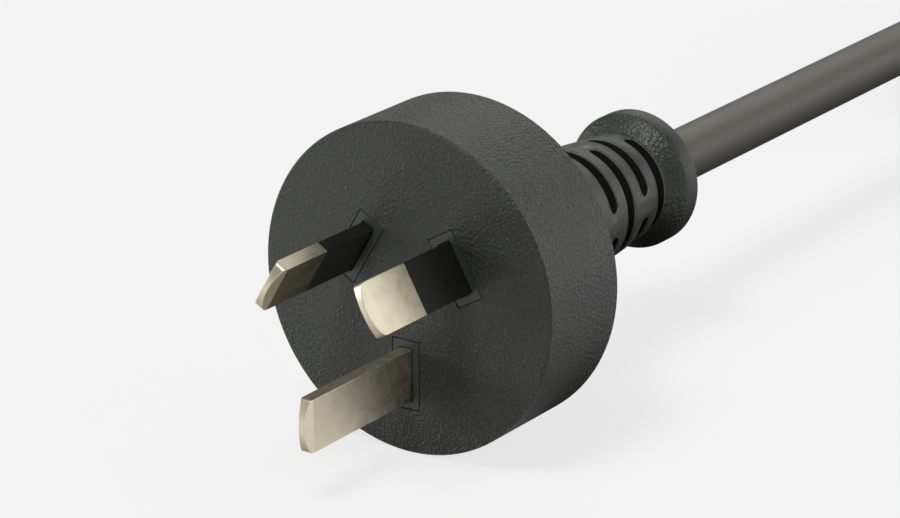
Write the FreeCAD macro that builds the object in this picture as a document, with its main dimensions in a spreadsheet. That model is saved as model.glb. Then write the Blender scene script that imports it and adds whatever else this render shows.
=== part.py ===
"""Type I plug, moulded on a round three-core lead.

Millimetres. The origin is the centre of the pin face. The pins point along -Y, the lead leaves along
+Y, +Z is up with the earth pin at the bottom, and +X is to the right seen from the pin side.
"""

import FreeCAD, Part
import Sketcher

import math
import os

from FreeCAD import Placement, Rotation, Vector

# Every size that can be set by itself, in millimetres or degrees.
SIZES = {
    # the moulded body: disc, neck and flared end
    "body_diameter": 39.9,
    "body_depth": 14.0,
    "face_edge_chamfer": 0.22,
    "back_edge_chamfer": 0.3,
    "cove_radius": 7.0,
    "neck_root_diameter": 19.6,
    "neck_tip_diameter": 13.3,
    "flare_length": 1.7,
    "rim_length": 2.6,
    "body_length": 50.2,
    "rim_diameter": 17.3,
    "rim_edge_chamfer": 0.22,
    # the slots that make the neck flexible, counted back from the flare
    "slot_margin": 0.2,
    "slot_pitch": 4.05,
    "slot_width": 2.1,
    "slot_web_angle": 22.0,
    "slot_end_radius": 0.95,
    "sheath_skin": 0.8,
    # the blades: their section and pitch are the plug standard's
    "blade_width": 6.35,
    "blade_thickness": 1.6,
    "live_blade_length": 17.35,
    "earth_blade_length": 20.1,
    "live_blade_radius": 7.92,
    "live_blade_angle": 60.0,
    "earth_blade_radius": 10.31,
    "tip_radius": 6.0,
    "tip_corner_radius": 0.5,
    "tip_bevel_length": 1.3,
    "tip_bevel_depth": 0.46,
    "tail_width": 3.2,
    "tail_thickness": 1.0,
    # the sleeves on the live blades
    "sleeve_length": 8.65,
    "sleeve_wall": 0.35,
    "sleeve_root": 2.6,
    # the carrier that holds the blades
    "pad_length": 8.35,
    "pad_width": 3.6,
    "pad_height": 1.6,
    "pad_gap": 0.13,
    "gap_depth": 0.45,
    "carrier_thickness": 4.0,
    "carrier_radius": 12.0,
    "carrier_arm_width": 9.6,
    "carrier_arm_reach": 14.8,
    "blade_clearance": 0.02,
    # the bands that join each tail to its wire
    "band_start": 6.3,
    "band_length": 4.0,
    "band_wall": 0.4,
    "band_past_tail": 0.2,
    # the lead and its cores
    "cord_diameter": 6.8,
    "core_diameter": 2.4,
    "core_gap": 0.15,
    "wire_diameter": 1.3,
    "core_start": 10.6,
    "core_bend_start": 11.2,
    "core_bend_end": 22.8,
    "sheath_start": 24.0,
    # the hank of put-away lead, its tie and the stripped end
    "hank_near": 174.5,
    "hank_half_length": 42.0,
    "hank_loop_radius": 21.4,
    "hank_parting": 4.0,
    "tie_width": 5.0,
    "tie_thickness": 0.8,
    "waist_margin": 0.5,
    "tie_twist_diameter": 2.2,
    "tie_twist_length": 15.0,
    "end_stub": 24.0,
    "bare_end_length": 6.0,
}

# How far a cut runs past the solid, and how far one feature runs into the next so that they join.
PAST = 1.0
INTO = 0.5
# A fillet as large as half a side fails, so it stays this much smaller.
FILLET_SLACK = 0.01
# How a swept tube passes a corner of its path.
MITRED = 1
# Two lengths closer than this are the same. An edge longer than LONG runs along a piece, not across it.
SAME = 0.01
LONG = 1.0
# How far from the origin a sketch's lines start, before its constraints put them in place, and the angle
# that a turned piece has before its expression gives the true one.
FIRST_GUESS = 5.0
FIRST_ANGLE = 10.0
# The rows of slots in the neck.
SLOT_ROWS = 4
# Where the rim and the flare start and where the first row of slots does, worked back from the body's end.
RIM_START = "(Sizes.body_length - Sizes.rim_length)"
FLARE_START = f"({RIM_START} - Sizes.flare_length)"
ROWS_DEPTH = f"({SLOT_ROWS - 1} * Sizes.slot_pitch + Sizes.slot_width)"
SLOT_START = f"({FLARE_START} - Sizes.slot_margin - {ROWS_DEPTH})"
# The share of the shorter run that the arc at a corner of the lead takes up.
ARC_SHARE = 0.45
# The hank's laps, side by side at the tie and on each other at its far end.
LAPS_WIDE = 2
LAPS_HIGH = 3

# The lead's route from the body's end to the hank, chosen by hand: straight as far as it is seen, then
# down on to the hank. The last point is on the hank's top layer.
CORD_ROUTE = [
    (0.0, 50.2, 0.0),
    (0.0, 134.0, 0.0),
    (1.0, 160.5, -1.6),
    (2.9, 187.0, -2.4),
    (3.4, 213.42, -2.15),
]

# The direction of each core in the lead's section, in degrees from +X towards +Z.
CORE_ANGLES = {"active": 30, "neutral": 150, "earth": 270}

# How far each stripped core reaches from the sheath's end, and where it comes to lie on the floor. It runs
# straight out of the sheath at first, and straight again where it lies.
CORE_ENDS = {"active": (20.0, 2.4), "neutral": (21.5, -8.6), "earth": (23.0, -3.2)}
STRIPPED_RUN = 1.0
LYING_RUN = 3.0

doc = FreeCAD.newDocument("plug")
sheet = doc.addObject("Spreadsheet::Sheet", "Sizes")
for row, (alias, value) in enumerate(SIZES.items(), start=1):
    sheet.set(f"A{row}", alias)
    sheet.set(f"B{row}", str(value))
    sheet.setAlias(f"B{row}", alias)
doc.recompute()


def size(alias):
    return float(sheet.get(alias))


def origin_plane(body, role):
    return next(item for item in body.Origin.OriginFeatures if item.Role == role)


def new_body(label):
    body = doc.addObject("PartDesign::Body", label)
    body.Label = label
    return body


def new_sketch(body, role, name):
    sketch = body.newObject("Sketcher::SketchObject", name)
    sketch.AttachmentSupport = [(origin_plane(body, role), "")]
    sketch.MapMode = "FlatFace"
    return sketch


def place_point(sketch, line, end, across, up):
    """Ties one end of a line to the sketch's origin, by an expression for each direction."""
    for kind, axis, text in (("DistanceX", -2, across), ("DistanceY", -1, up)):
        if text == "0":
            sketch.addConstraint(Sketcher.Constraint("PointOnObject", line, end, axis))
            continue
        if text.startswith("-"):
            number = sketch.addConstraint(Sketcher.Constraint(kind, line, end, -1, 1, 1.0))
        else:
            number = sketch.addConstraint(Sketcher.Constraint(kind, -1, 1, line, end, 1.0))
        sketch.setExpression(f"Constraints[{number}]", text.lstrip("-"))


def add_outline(sketch, corners):
    """A closed outline of straight lines through corners given as pairs of expressions."""
    count = len(corners)
    first = sketch.GeometryCount
    for index in range(count):
        turn = 2 * math.pi * index / count
        after = 2 * math.pi * (index + 1) / count
        start = Vector(math.cos(turn), math.sin(turn), 0) * FIRST_GUESS
        stop = Vector(math.cos(after), math.sin(after), 0) * FIRST_GUESS
        sketch.addGeometry(Part.LineSegment(start, stop), False)
    for index in range(count):
        following = first + (index + 1) % count
        sketch.addConstraint(Sketcher.Constraint("Coincident", first + index, 2, following, 1))
    for index, (across, up) in enumerate(corners):
        place_point(sketch, first + index, 1, across, up)


def add_rectangle(sketch, left, right, bottom, top):
    add_outline(sketch, [(left, bottom), (right, bottom), (right, top), (left, top)])


def add_pad(body, sketch, name, length, middle=False):
    pad = body.newObject("PartDesign::Pad", name)
    pad.Profile = sketch
    pad.setExpression("Length", length)
    pad.Midplane = middle
    return pad


def add_pocket(body, sketch, name, length, middle=False, back=False):
    pocket = body.newObject("PartDesign::Pocket", name)
    pocket.Profile = sketch
    pocket.setExpression("Length", length)
    pocket.Midplane = middle
    pocket.Reversed = back
    return pocket


def edges_where(shape, test):
    return [f"Edge{number}" for number, edge in enumerate(shape.Edges, start=1) if test(edge)]


def add_fillet(body, base, name, radius, test):
    """Rounds the edges of base that pass test."""
    doc.recompute()
    fillet = body.newObject("PartDesign::Fillet", name)
    fillet.Base = (base, edges_where(base.Shape, test))
    fillet.setExpression("Radius", radius)
    return fillet


def add_chamfer(body, base, name, amount, test):
    """Breaks the edges of base that pass test."""
    doc.recompute()
    chamfer = body.newObject("PartDesign::Chamfer", name)
    chamfer.Base = (base, edges_where(base.Shape, test))
    chamfer.setExpression("Size", amount)
    return chamfer


def round_edge_at(radius, height):
    """A test for the circular edges round the Y axis that have this radius and height."""

    def test(edge):
        curve = edge.Curve
        return (
            isinstance(curve, Part.Circle)
            and abs(curve.Radius - radius) < SAME
            and abs(curve.Center.y - height) < SAME
        )

    return test


def add_feature(label, shape):
    feature = doc.addObject("Part::Feature", label)
    feature.Label = label
    feature.Shape = shape
    return feature


def add_cut(label, base, tool):
    cut = doc.addObject("Part::Cut", label)
    cut.Label = label
    cut.Base = base
    cut.Tool = tool
    return cut


def add_union(label, shapes):
    union = doc.addObject("Part::MultiFuse", label)
    union.Shapes = shapes
    return union


# The blades. side is 1 on the right, -1 on the left and 0 for the earth blade at the bottom. In a blade's
# own frame X runs across its width, Y along the plug's axis, and its wire lies on the -Z side.
BLADES = {
    "active": {"side": 1, "length": "Sizes.live_blade_length", "sleeved": True},
    "neutral": {"side": -1, "length": "Sizes.live_blade_length", "sleeved": True},
    "earth": {"side": 0, "length": "Sizes.earth_blade_length", "sleeved": False},
}


def stand_at_blade(item, name):
    """Ties an object's placement to the place of the named blade."""
    side = BLADES[name]["side"]
    item.Placement = Placement(Vector(0, 0, 0), Rotation(Vector(0, 1, 0), FIRST_ANGLE))
    if side == 0:
        item.setExpression("Placement.Base.z", "-Sizes.earth_blade_radius")
        item.setExpression("Placement.Rotation.Angle", "90 deg")
        return
    sign = "" if side > 0 else "-"
    across = f"{sign}Sizes.live_blade_radius * sin(Sizes.live_blade_angle * 1 deg)"
    item.setExpression("Placement.Base.x", across)
    item.setExpression("Placement.Base.z", "Sizes.live_blade_radius * cos(Sizes.live_blade_angle * 1 deg)")
    item.setExpression("Placement.Rotation.Angle", f"{sign}Sizes.live_blade_angle * 1 deg")


def blade_frame(name):
    """The same placement as a value, for shapes that are worked out here."""
    side = BLADES[name]["side"]
    if side == 0:
        return Placement(Vector(0, 0, -size("earth_blade_radius")), Rotation(Vector(0, 1, 0), 90))
    angle = math.radians(size("live_blade_angle"))
    radius = size("live_blade_radius")
    base = Vector(side * radius * math.sin(angle), 0, radius * math.cos(angle))
    return Placement(base, Rotation(Vector(0, 1, 0), side * size("live_blade_angle")))


def make_blade(name):
    """A flat blade: arc end, bevelled tip, necked under its sleeve, with a narrow tail for the wire."""
    body = new_body(f"{name}_pin")
    length = BLADES[name]["length"]
    half_width = size("blade_width") / 2
    centre = size("tip_radius") - size(length.split(".")[1])
    corner = centre - math.sqrt(size("tip_radius") ** 2 - half_width**2)
    shoulder = size("pad_height") + size("carrier_thickness")
    outline = new_sketch(body, "XY_Plane", f"{name}_outline")
    points = [
        Vector(-half_width, corner, 0),
        Vector(-half_width, shoulder, 0),
        Vector(half_width, shoulder, 0),
        Vector(half_width, corner, 0),
    ]
    for start, stop in zip(points, points[1:]):
        outline.addGeometry(Part.LineSegment(start, stop), False)
    tip = Vector(0, centre - size("tip_radius"), 0)
    outline.addGeometry(Part.Arc(points[0], tip, points[3]), False)
    for one, one_end, other, other_end in ((0, 2, 1, 1), (1, 2, 2, 1), (0, 1, 3, 1), (2, 2, 3, 2)):
        outline.addConstraint(Sketcher.Constraint("Coincident", one, one_end, other, other_end))
    outline.addConstraint(Sketcher.Constraint("PointOnObject", 3, 3, -2))
    place_point(outline, 1, 1, "-Sizes.blade_width / 2", "Sizes.pad_height + Sizes.carrier_thickness")
    place_point(outline, 1, 2, "Sizes.blade_width / 2", "Sizes.pad_height + Sizes.carrier_thickness")
    outline.addConstraint(Sketcher.Constraint("Vertical", 0))
    outline.addConstraint(Sketcher.Constraint("Vertical", 2))
    number = outline.addConstraint(Sketcher.Constraint("Radius", 3, size("tip_radius")))
    outline.setExpression(f"Constraints[{number}]", "Sizes.tip_radius")
    reach = Sketcher.Constraint("DistanceY", 3, 3, -1, 1, -centre)
    number = outline.addConstraint(reach)
    outline.setExpression(f"Constraints[{number}]", f"{length} - Sizes.tip_radius")
    last = add_pad(body, outline, f"{name}_blade", "Sizes.blade_thickness", middle=True)

    def at_tip_corner(edge):
        low, high = edge.BoundBox.YMin, edge.BoundBox.YMax
        return high - low < SAME and abs(low - corner) < SAME and edge.BoundBox.ZLength > LONG

    last = add_fillet(body, last, f"{name}_tip_corners", "Sizes.tip_corner_radius", at_tip_corner)
    bevel = new_sketch(body, "YZ_Plane", f"{name}_bevel")
    for sign in ("", "-"):
        face = f"{sign}Sizes.blade_thickness / 2"
        inner = f"{sign}(Sizes.blade_thickness / 2 - Sizes.tip_bevel_depth)"
        start = f"-({length} - Sizes.tip_bevel_length)"
        stop = f"-{length}"
        past = f"-({length} + Sizes.tip_bevel_length)"
        outside = f"{sign}(Sizes.blade_thickness / 2 + Sizes.tip_bevel_depth)"
        corners = [(start, face), (stop, inner), (past, inner), (past, outside), (start, outside)]
        add_outline(bevel, corners)
    add_pocket(body, bevel, f"{name}_tip_bevels", "Sizes.blade_width * 2", middle=True)
    if BLADES[name]["sleeved"]:
        for role, sketch_name, edge in (
            ("XY_Plane", "sides", "Sizes.blade_width / 2"),
            ("YZ_Plane", "faces", "Sizes.blade_thickness / 2"),
        ):
            neck = new_sketch(body, role, f"{name}_neck_{sketch_name}")
            for sign in ("", "-"):
                inner = f"{sign}({edge} - Sizes.sleeve_wall)"
                outer = f"{sign}({edge} + Sizes.sleeve_wall)"
                ends = ("-Sizes.sleeve_length", "Sizes.sleeve_root")
                if role == "XY_Plane":
                    add_rectangle(neck, inner, outer, *ends)
                else:
                    add_rectangle(neck, *ends, inner, outer)
            add_pocket(body, neck, f"{name}_necked_{sketch_name}", "Sizes.blade_width * 2", middle=True)
    tail = new_sketch(body, "XY_Plane", f"{name}_tail_outline")
    half = "Sizes.tail_width / 2"
    seat = "Sizes.pad_height + Sizes.carrier_thickness / 2"
    tail_end = "Sizes.band_start + Sizes.band_length - Sizes.band_past_tail"
    add_rectangle(tail, f"-{half}", half, seat, tail_end)
    add_pad(body, tail, f"{name}_tail", "Sizes.tail_thickness", middle=True)
    stand_at_blade(body, name)
    return body


def make_sleeve(name):
    """The insulating sleeve, moulded round the necked part of a live blade and flush with it."""
    body = new_body(f"{name}_pin_sleeve")
    outline = new_sketch(body, "XY_Plane", f"{name}_sleeve_outline")
    half = "Sizes.blade_width / 2"
    ends = ("-Sizes.sleeve_length", "Sizes.sleeve_root")
    add_rectangle(outline, f"-{half}", half, *ends)
    add_pad(body, outline, f"{name}_sleeve_bar", "Sizes.blade_thickness", middle=True)
    bore = new_sketch(body, "XY_Plane", f"{name}_sleeve_bore")
    inner = "(Sizes.blade_width / 2 - Sizes.sleeve_wall)"
    add_rectangle(bore, f"-{inner}", inner, f"-(Sizes.sleeve_length + {PAST})", f"Sizes.sleeve_root + {PAST}")
    depth = "Sizes.blade_thickness - 2 * Sizes.sleeve_wall"
    add_pocket(body, bore, f"{name}_sleeve_hole", depth, middle=True)
    stand_at_blade(body, name)
    return body


def blade_sketch(body, name, label, front):
    """A sketch square to the plug's axis, centred on the named blade, at the depth that front gives."""
    sketch = new_sketch(body, "XZ_Plane", label)
    side = BLADES[name]["side"]
    sketch.AttachmentOffset = Placement(Vector(0, 0, 0), Rotation(Vector(0, 0, 1), FIRST_ANGLE))
    sketch.setExpression("AttachmentOffset.Base.z", f"-({front})")
    if side == 0:
        sketch.setExpression("AttachmentOffset.Base.y", "-Sizes.earth_blade_radius")
        sketch.setExpression("AttachmentOffset.Rotation.Angle", "90 deg")
        return sketch
    sign = "" if side > 0 else "-"
    turned = "-" if side > 0 else ""
    across = f"{sign}Sizes.live_blade_radius * sin(Sizes.live_blade_angle * 1 deg)"
    sketch.setExpression("AttachmentOffset.Base.x", across)
    height = "Sizes.live_blade_radius * cos(Sizes.live_blade_angle * 1 deg)"
    sketch.setExpression("AttachmentOffset.Base.y", height)
    sketch.setExpression("AttachmentOffset.Rotation.Angle", f"{turned}Sizes.live_blade_angle * 1 deg")
    return sketch


def add_centred_rectangle(sketch, wide, high):
    add_rectangle(sketch, f"-({wide}) / 2", f"({wide}) / 2", f"-({high}) / 2", f"({high}) / 2")


def make_carrier():
    """The rigid carrier: a plate inside the moulding with a pad round each blade, flush with the face."""
    body = new_body("pin_carrier")
    back = "Sizes.pad_height + Sizes.carrier_thickness"
    plate = new_sketch(body, "XZ_Plane", "carrier_plate_outline")
    plate.setExpression("AttachmentOffset.Base.z", f"-({back})")
    plate.addGeometry(Part.Circle(Vector(0, 0, 0), Vector(0, 0, 1), size("carrier_radius")), False)
    plate.addConstraint(Sketcher.Constraint("Coincident", 0, 3, -1, 1))
    number = plate.addConstraint(Sketcher.Constraint("Radius", 0, size("carrier_radius")))
    plate.setExpression(f"Constraints[{number}]", "Sizes.carrier_radius")
    add_pad(body, plate, "carrier_plate", "Sizes.carrier_thickness")
    arm = new_sketch(body, "XZ_Plane", "carrier_arm_outline")
    arm.setExpression("AttachmentOffset.Base.z", f"-({back})")
    half = "Sizes.carrier_arm_width / 2"
    add_rectangle(arm, f"-{half}", half, "-Sizes.carrier_arm_reach", "0")
    add_pad(body, arm, "carrier_arm", "Sizes.carrier_thickness")
    for name in BLADES:
        pad = blade_sketch(body, name, f"{name}_pad_outline", f"Sizes.pad_height + {INTO}")
        add_centred_rectangle(pad, "Sizes.pad_length", "Sizes.pad_width")
        blank = add_pad(body, pad, f"{name}_pad", f"Sizes.pad_height + {INTO}")
    for name in BLADES:
        slot = blade_sketch(body, name, f"{name}_slot_outline", back)
        wide = "Sizes.blade_width + 2 * Sizes.blade_clearance"
        high = "Sizes.blade_thickness + 2 * Sizes.blade_clearance"
        add_centred_rectangle(slot, wide, high)
        add_pocket(body, slot, f"{name}_slot", f"{back} + {PAST}", back=True)
        gap = blade_sketch(body, name, f"{name}_gap_outline", "Sizes.gap_depth")
        wide = "Sizes.blade_width + 2 * Sizes.pad_gap"
        high = "Sizes.blade_thickness + 2 * Sizes.pad_gap"
        add_centred_rectangle(gap, wide, high)
        add_pocket(body, gap, f"{name}_gap", f"Sizes.gap_depth + {PAST}", back=True)
    return body, blank


def make_band(name):
    """A band of strip wrapped round the blade's tail and its wire, with the seam on the wire's side."""
    body = new_body(f"{name}_crimp_band")
    width = "(Sizes.tail_width / 2 + Sizes.band_wall)"
    over = "(Sizes.tail_thickness / 2 + Sizes.band_wall)"
    under = "(Sizes.tail_thickness / 2 + Sizes.wire_diameter + Sizes.band_wall)"
    finish = "Sizes.band_start + Sizes.band_length"
    outline = new_sketch(body, "YZ_Plane", f"{name}_band_outline")
    add_rectangle(outline, "Sizes.band_start", finish, f"-{under}", over)
    block = add_pad(body, outline, f"{name}_band_block", f"2 * {width}", middle=True)

    def along(edge):
        box = edge.BoundBox
        return box.YLength > LONG and box.XLength < SAME and box.ZLength < SAME

    blank = add_fillet(body, block, f"{name}_band_rounding", "Sizes.band_wall", along)
    hollow = new_sketch(body, "YZ_Plane", f"{name}_band_hollow")
    inner_under = "(Sizes.tail_thickness / 2 + Sizes.wire_diameter)"
    span = (f"Sizes.band_start - {PAST}", f"{finish} + {PAST}")
    add_rectangle(hollow, *span, f"-{inner_under}", "Sizes.tail_thickness / 2")
    add_pocket(body, hollow, f"{name}_band_hole", "Sizes.tail_width", middle=True)
    seam = new_sketch(body, "YZ_Plane", f"{name}_band_seam")
    add_rectangle(seam, *span, f"-({under} + {PAST})", f"-({inner_under} - Sizes.band_wall / 2)")
    add_pocket(body, seam, f"{name}_band_slit", "Sizes.band_wall / 2", middle=True)
    stand_at_blade(body, name)
    return body, blank


def offset_path(start, stop, bend_start, bend_end):
    """A path that runs along Y, slants across to the other line, and runs along Y again."""
    first = Vector(start.x, bend_start, start.z)
    last = Vector(stop.x, bend_end, stop.z)
    return Part.makePolygon([start, first, last, stop])


def tube_on(path, radius):
    """A round solid along a path that starts along Y, mitred where the path turns."""
    start = path.Edges[0].firstVertex(True).Point
    ring = Part.Wire([Part.makeCircle(radius, start, Vector(0, 1, 0))])
    return path.makePipeShell([ring], True, False, MITRED)


def round_bar(start, stop, radius):
    return Part.makeCylinder(radius, start.distanceToPoint(stop), start, stop - start)


def bundle_place(name, depth):
    """Where the named core lies in the lead, at this depth along Y. The sheath fills between the cores."""
    reach = (size("core_diameter") + size("core_gap")) / math.sqrt(3)
    turn = math.radians(CORE_ANGLES[name])
    return Vector(reach * math.cos(turn), depth, reach * math.sin(turn))


def make_cores():
    """Each core from its band to the end of the neck: the wire, and the cover round it."""
    wires, covers, blanks = [], [], []
    for name in BLADES:
        beside = -(size("tail_thickness") + size("wire_diameter")) / 2
        seat = blade_frame(name).multVec(Vector(0, size("band_start"), beside))
        stop = bundle_place(name, size("body_length"))
        bends = (size("core_bend_start"), size("core_bend_end"))
        wire = tube_on(offset_path(seat, stop, *bends), size("wire_diameter") / 2)
        core_start = Vector(seat.x, size("core_start"), seat.z)
        blank = tube_on(offset_path(core_start, stop, *bends), size("core_diameter") / 2)
        blanks.append(add_feature(f"{name}_core_blank", blank))
        wires.append(add_feature(f"{name}_conductor", wire))
        covers.append(add_cut(f"{name}_core_cover", blanks[-1], wires[-1]))
    return wires, covers, blanks


def make_body_blank():
    """The moulding's outside: a disc, a tapered neck on a cove, and a flare that ends in a rim."""
    body = new_body("body_blank")
    profile = new_sketch(body, "XY_Plane", "body_profile")
    corners = [
        ("0", "0"),
        ("Sizes.body_diameter / 2", "0"),
        ("Sizes.body_diameter / 2", "Sizes.body_depth"),
        ("Sizes.neck_root_diameter / 2", "Sizes.body_depth"),
        ("Sizes.neck_tip_diameter / 2", FLARE_START),
        ("Sizes.rim_diameter / 2", RIM_START),
        ("Sizes.rim_diameter / 2", "Sizes.body_length"),
        ("0", "Sizes.body_length"),
    ]
    add_outline(profile, corners)
    turned = body.newObject("PartDesign::Revolution", "body_turned")
    turned.Profile = profile
    turned.ReferenceAxis = (profile, ["V_Axis"])
    turned.Angle = 360
    radius, rim = size("body_diameter") / 2, size("rim_diameter") / 2
    root = round_edge_at(size("neck_root_diameter") / 2, size("body_depth"))
    last = add_fillet(body, turned, "cove", "Sizes.cove_radius", root)
    broken_edges = [
        ("face_edge", radius, 0.0),
        ("back_edge", radius, size("body_depth")),
        ("rim_edge", rim, size("body_length") - size("rim_length")),
        ("rim_edge", rim, size("body_length")),
    ]
    for name, reach, depth in broken_edges:
        last = add_chamfer(body, last, name, f"Sizes.{name}_chamfer", round_edge_at(reach, depth))
    return body


def add_slots(body):
    """Rows of two slots round the neck. Each row is turned a quarter from the one before."""
    reach = f"Sizes.rim_diameter / 2 + {PAST}"
    floor = "Sizes.cord_diameter / 2 + Sizes.sheath_skin"
    for number in range(SLOT_ROWS):
        sideways = number % 2 == 1
        role = "XY_Plane" if sideways else "YZ_Plane"
        sketch = new_sketch(body, role, f"slot_{number}_profile")
        low = f"{SLOT_START} + {number} * Sizes.slot_pitch"
        span = (low, f"{low} + Sizes.slot_width")
        if sideways:
            add_rectangle(sketch, floor, reach, *span)
        else:
            add_rectangle(sketch, *span, floor, reach)
        groove = body.newObject("PartDesign::Groove", f"slot_{number}")
        groove.Profile = sketch
        groove.ReferenceAxis = (sketch, ["V_Axis" if sideways else "H_Axis"])
        groove.Midplane = True
        groove.setExpression("Angle", "180 deg - Sizes.slot_web_angle * 1 deg")
        pattern = body.newObject("PartDesign::PolarPattern", f"slot_{number}_pair")
        pattern.Originals = [groove]
        pattern.Axis = (origin_plane(body, "Y_Axis"), [""])
        pattern.Angle = 360
        pattern.Occurrences = 2
        body.Tip = pattern
    doc.recompute()
    flare_start = size("body_length") - size("rim_length") - size("flare_length")
    first_row = flare_start - size("slot_margin") - SLOT_ROWS * size("slot_pitch")

    def across_the_slot_end(edge):
        box = edge.BoundBox
        inside = first_row - SAME < box.YMin < flare_start
        flat = box.YLength < SAME and isinstance(edge.Curve, Part.Line)
        return inside and flat

    return add_fillet(body, body.Tip, "slot_ends", "Sizes.slot_end_radius", across_the_slot_end)


def add_windows(body):
    """The three windows in the face, a fine gap wider than the carrier's pads."""
    for name in BLADES:
        window = blade_sketch(body, name, f"{name}_window_outline", "Sizes.gap_depth")
        wide = "Sizes.pad_length + 2 * Sizes.pad_gap"
        high = "Sizes.pad_width + 2 * Sizes.pad_gap"
        add_centred_rectangle(window, wide, high)
        pocket = add_pocket(body, window, f"{name}_window", f"Sizes.gap_depth + {PAST}", back=True)
    return pocket


def tube_along(points, diameter):
    """A round tube along straight runs that are joined by arcs tangent to both."""
    points = [Vector(*point) for point in points]
    edges, here = [], points[0]
    length = 0.0
    for before, corner, after in zip(points, points[1:], points[2:]):
        into = (corner - before).normalize()
        out = (after - corner).normalize()
        shorter = min(corner.distanceToPoint(before), after.distanceToPoint(corner))
        turn = into.getAngle(out)
        reach = ARC_SHARE * shorter
        radius = reach / math.tan(turn / 2)
        print(f"cord bend at y {corner.y:.0f}: radius {radius:.0f} mm")
        start, stop = corner - into * reach, corner + out * reach
        bulge = radius / math.cos(turn / 2) - radius
        middle = corner + (out - into).normalize() * bulge
        edges.append(Part.LineSegment(here, start).toShape())
        edges.append(Part.Arc(start, middle, stop).toShape())
        length += here.distanceToPoint(start) + radius * turn
        here = stop
    edges.append(Part.LineSegment(here, points[-1]).toShape())
    length += here.distanceToPoint(points[-1])
    ring = Part.Wire([Part.makeCircle(diameter / 2, points[0], points[1] - points[0])])
    tube = Part.Wire(edges).makePipeShell([ring], True, False)
    ratio = tube.Volume / (math.pi * diameter**2 / 4 * length)
    print(f"cord tube: {length:.1f} mm, volume over section times length {ratio:.4f}")
    return tube


def arc_edge(centre, radius, from_angle, to_angle):
    """An arc in the floor plane about a centre, between two angles in degrees."""

    def at(angle):
        turn = math.radians(angle)
        return centre + Vector(radius * math.cos(turn), radius * math.sin(turn), 0)

    return Part.Arc(at(from_angle), at((from_angle + to_angle) / 2), at(to_angle)).toShape()


def loop_outline(offset):
    """One end loop of the hank seen from above, widened by offset, with the tie at y 0 and the loop
    towards +Y. It is closed across the waist for the outside, and ends in a point for the eye."""
    half_cord = size("cord_diameter") / 2
    loop, straight = size("hank_loop_radius"), size("tie_width") / 2 + size("waist_margin")
    span = size("hank_half_length") - straight
    shift = loop - half_cord
    bend = (shift**2 + span**2) / (4 * shift)
    turn = math.degrees(math.asin(span / 2 / bend))
    far = Vector(0, straight + span, 0)
    near_centre = Vector(half_cord + bend, straight, 0)
    far_centre = Vector(loop - bend, straight + span, 0)
    right = [
        arc_edge(near_centre, bend - offset, 180, 180 - turn),
        arc_edge(far_centre, bend + offset, -turn, 0),
    ]
    end = arc_edge(far, loop + offset, 0, 180)
    left = [edge.mirror(Vector(0, 0, 0), Vector(1, 0, 0)) for edge in right]
    edges = [*right, end, *left]
    if offset > 0:
        foot = half_cord + offset
        corners = [Vector(foot, straight, 0), Vector(foot, 0, 0), Vector(-foot, 0, 0)]
        corners.append(Vector(-foot, straight, 0))
        edges += [Part.LineSegment(a, b).toShape() for a, b in zip(corners, corners[1:])]
    return Part.Wire(Part.sortEdges(edges)[0])


def make_hank():
    """The put-away length: a stack of laps, waisted where the tie holds it, with an open eye at each
    end. The lap nearest the plug is one layer lower, because the lead comes in over it."""
    diameter = size("cord_diameter")
    floor = -size("body_diameter") / 2
    tie_y = size("hank_near") + size("hank_half_length")
    outside = Part.Face(loop_outline(diameter / 2))
    eye = Part.Face(loop_outline(-diameter / 2))
    straight = size("tie_width") / 2 + size("waist_margin")
    touching = Part.makeBox(diameter, size("hank_parting"), diameter)
    touching.translate(Vector(-diameter / 2, straight, -diameter / 2))
    loop = outside.cut(eye.cut(touching))
    far_end = loop.extrude(Vector(0, 0, LAPS_HIGH * diameter))
    near_end = loop.mirror(Vector(0, 0, 0), Vector(0, 1, 0))
    near_end = near_end.extrude(Vector(0, 0, (LAPS_HIGH - 1) * diameter))
    far_end.translate(Vector(0, tie_y, floor))
    near_end.translate(Vector(0, tie_y, floor))
    wide, high = LAPS_WIDE * diameter, LAPS_HIGH * diameter
    block = Part.makeBox(wide, 2 * straight, high)
    lengthways = [edge for edge in block.Edges if edge.BoundBox.YLength > LONG]
    waist = block.makeFillet(diameter / 2 - FILLET_SLACK, lengthways)
    lift = size("tie_thickness")
    waist.translate(Vector(-wide / 2, tie_y - straight, floor + lift))
    clear = Part.makeBox(2 * wide, 2 * straight, high + 2 * diameter)
    clear.translate(Vector(-wide, tie_y - straight, floor - diameter))
    stub_end = tie_y - size("end_stub")
    low = floor + diameter / 2
    stub_start = Vector(-diameter / 2, tie_y - straight, low)
    stub = round_bar(stub_start, Vector(-diameter / 2, stub_end, low), diameter / 2)
    ends = far_end.fuse(near_end).cut(clear)
    return ends.fuse([waist, stub]).removeSplitter()


def make_tie():
    """A flat plastic-covered wire tie round the hank's waist, its two ends twisted on top."""
    diameter, wall = size("cord_diameter"), size("tie_thickness")
    width = size("tie_width")
    floor = -size("body_diameter") / 2
    tie_y = size("hank_near") + size("hank_half_length")
    wide, high = LAPS_WIDE * diameter, LAPS_HIGH * diameter

    def rounded_block(grow, length):
        block = Part.makeBox(wide + 2 * grow, length, high + 2 * grow)
        lengthways = [edge for edge in block.Edges if edge.BoundBox.YLength > LONG]
        rounded = block.makeFillet(diameter / 2 - FILLET_SLACK + grow, lengthways)
        rounded.translate(Vector(-wide / 2 - grow, tie_y - length / 2, floor + wall - grow))
        return rounded

    band = rounded_block(wall, width).cut(rounded_block(0, 2 * width))
    top = floor + 2 * wall + high
    radius = size("tie_twist_diameter") / 2
    start = Vector(-size("tie_twist_length") / 3, tie_y, top + radius - wall / 2)
    twist = round_bar(start, start + Vector(size("tie_twist_length"), 0, 0), radius)
    return band.fuse(twist).removeSplitter()


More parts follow.
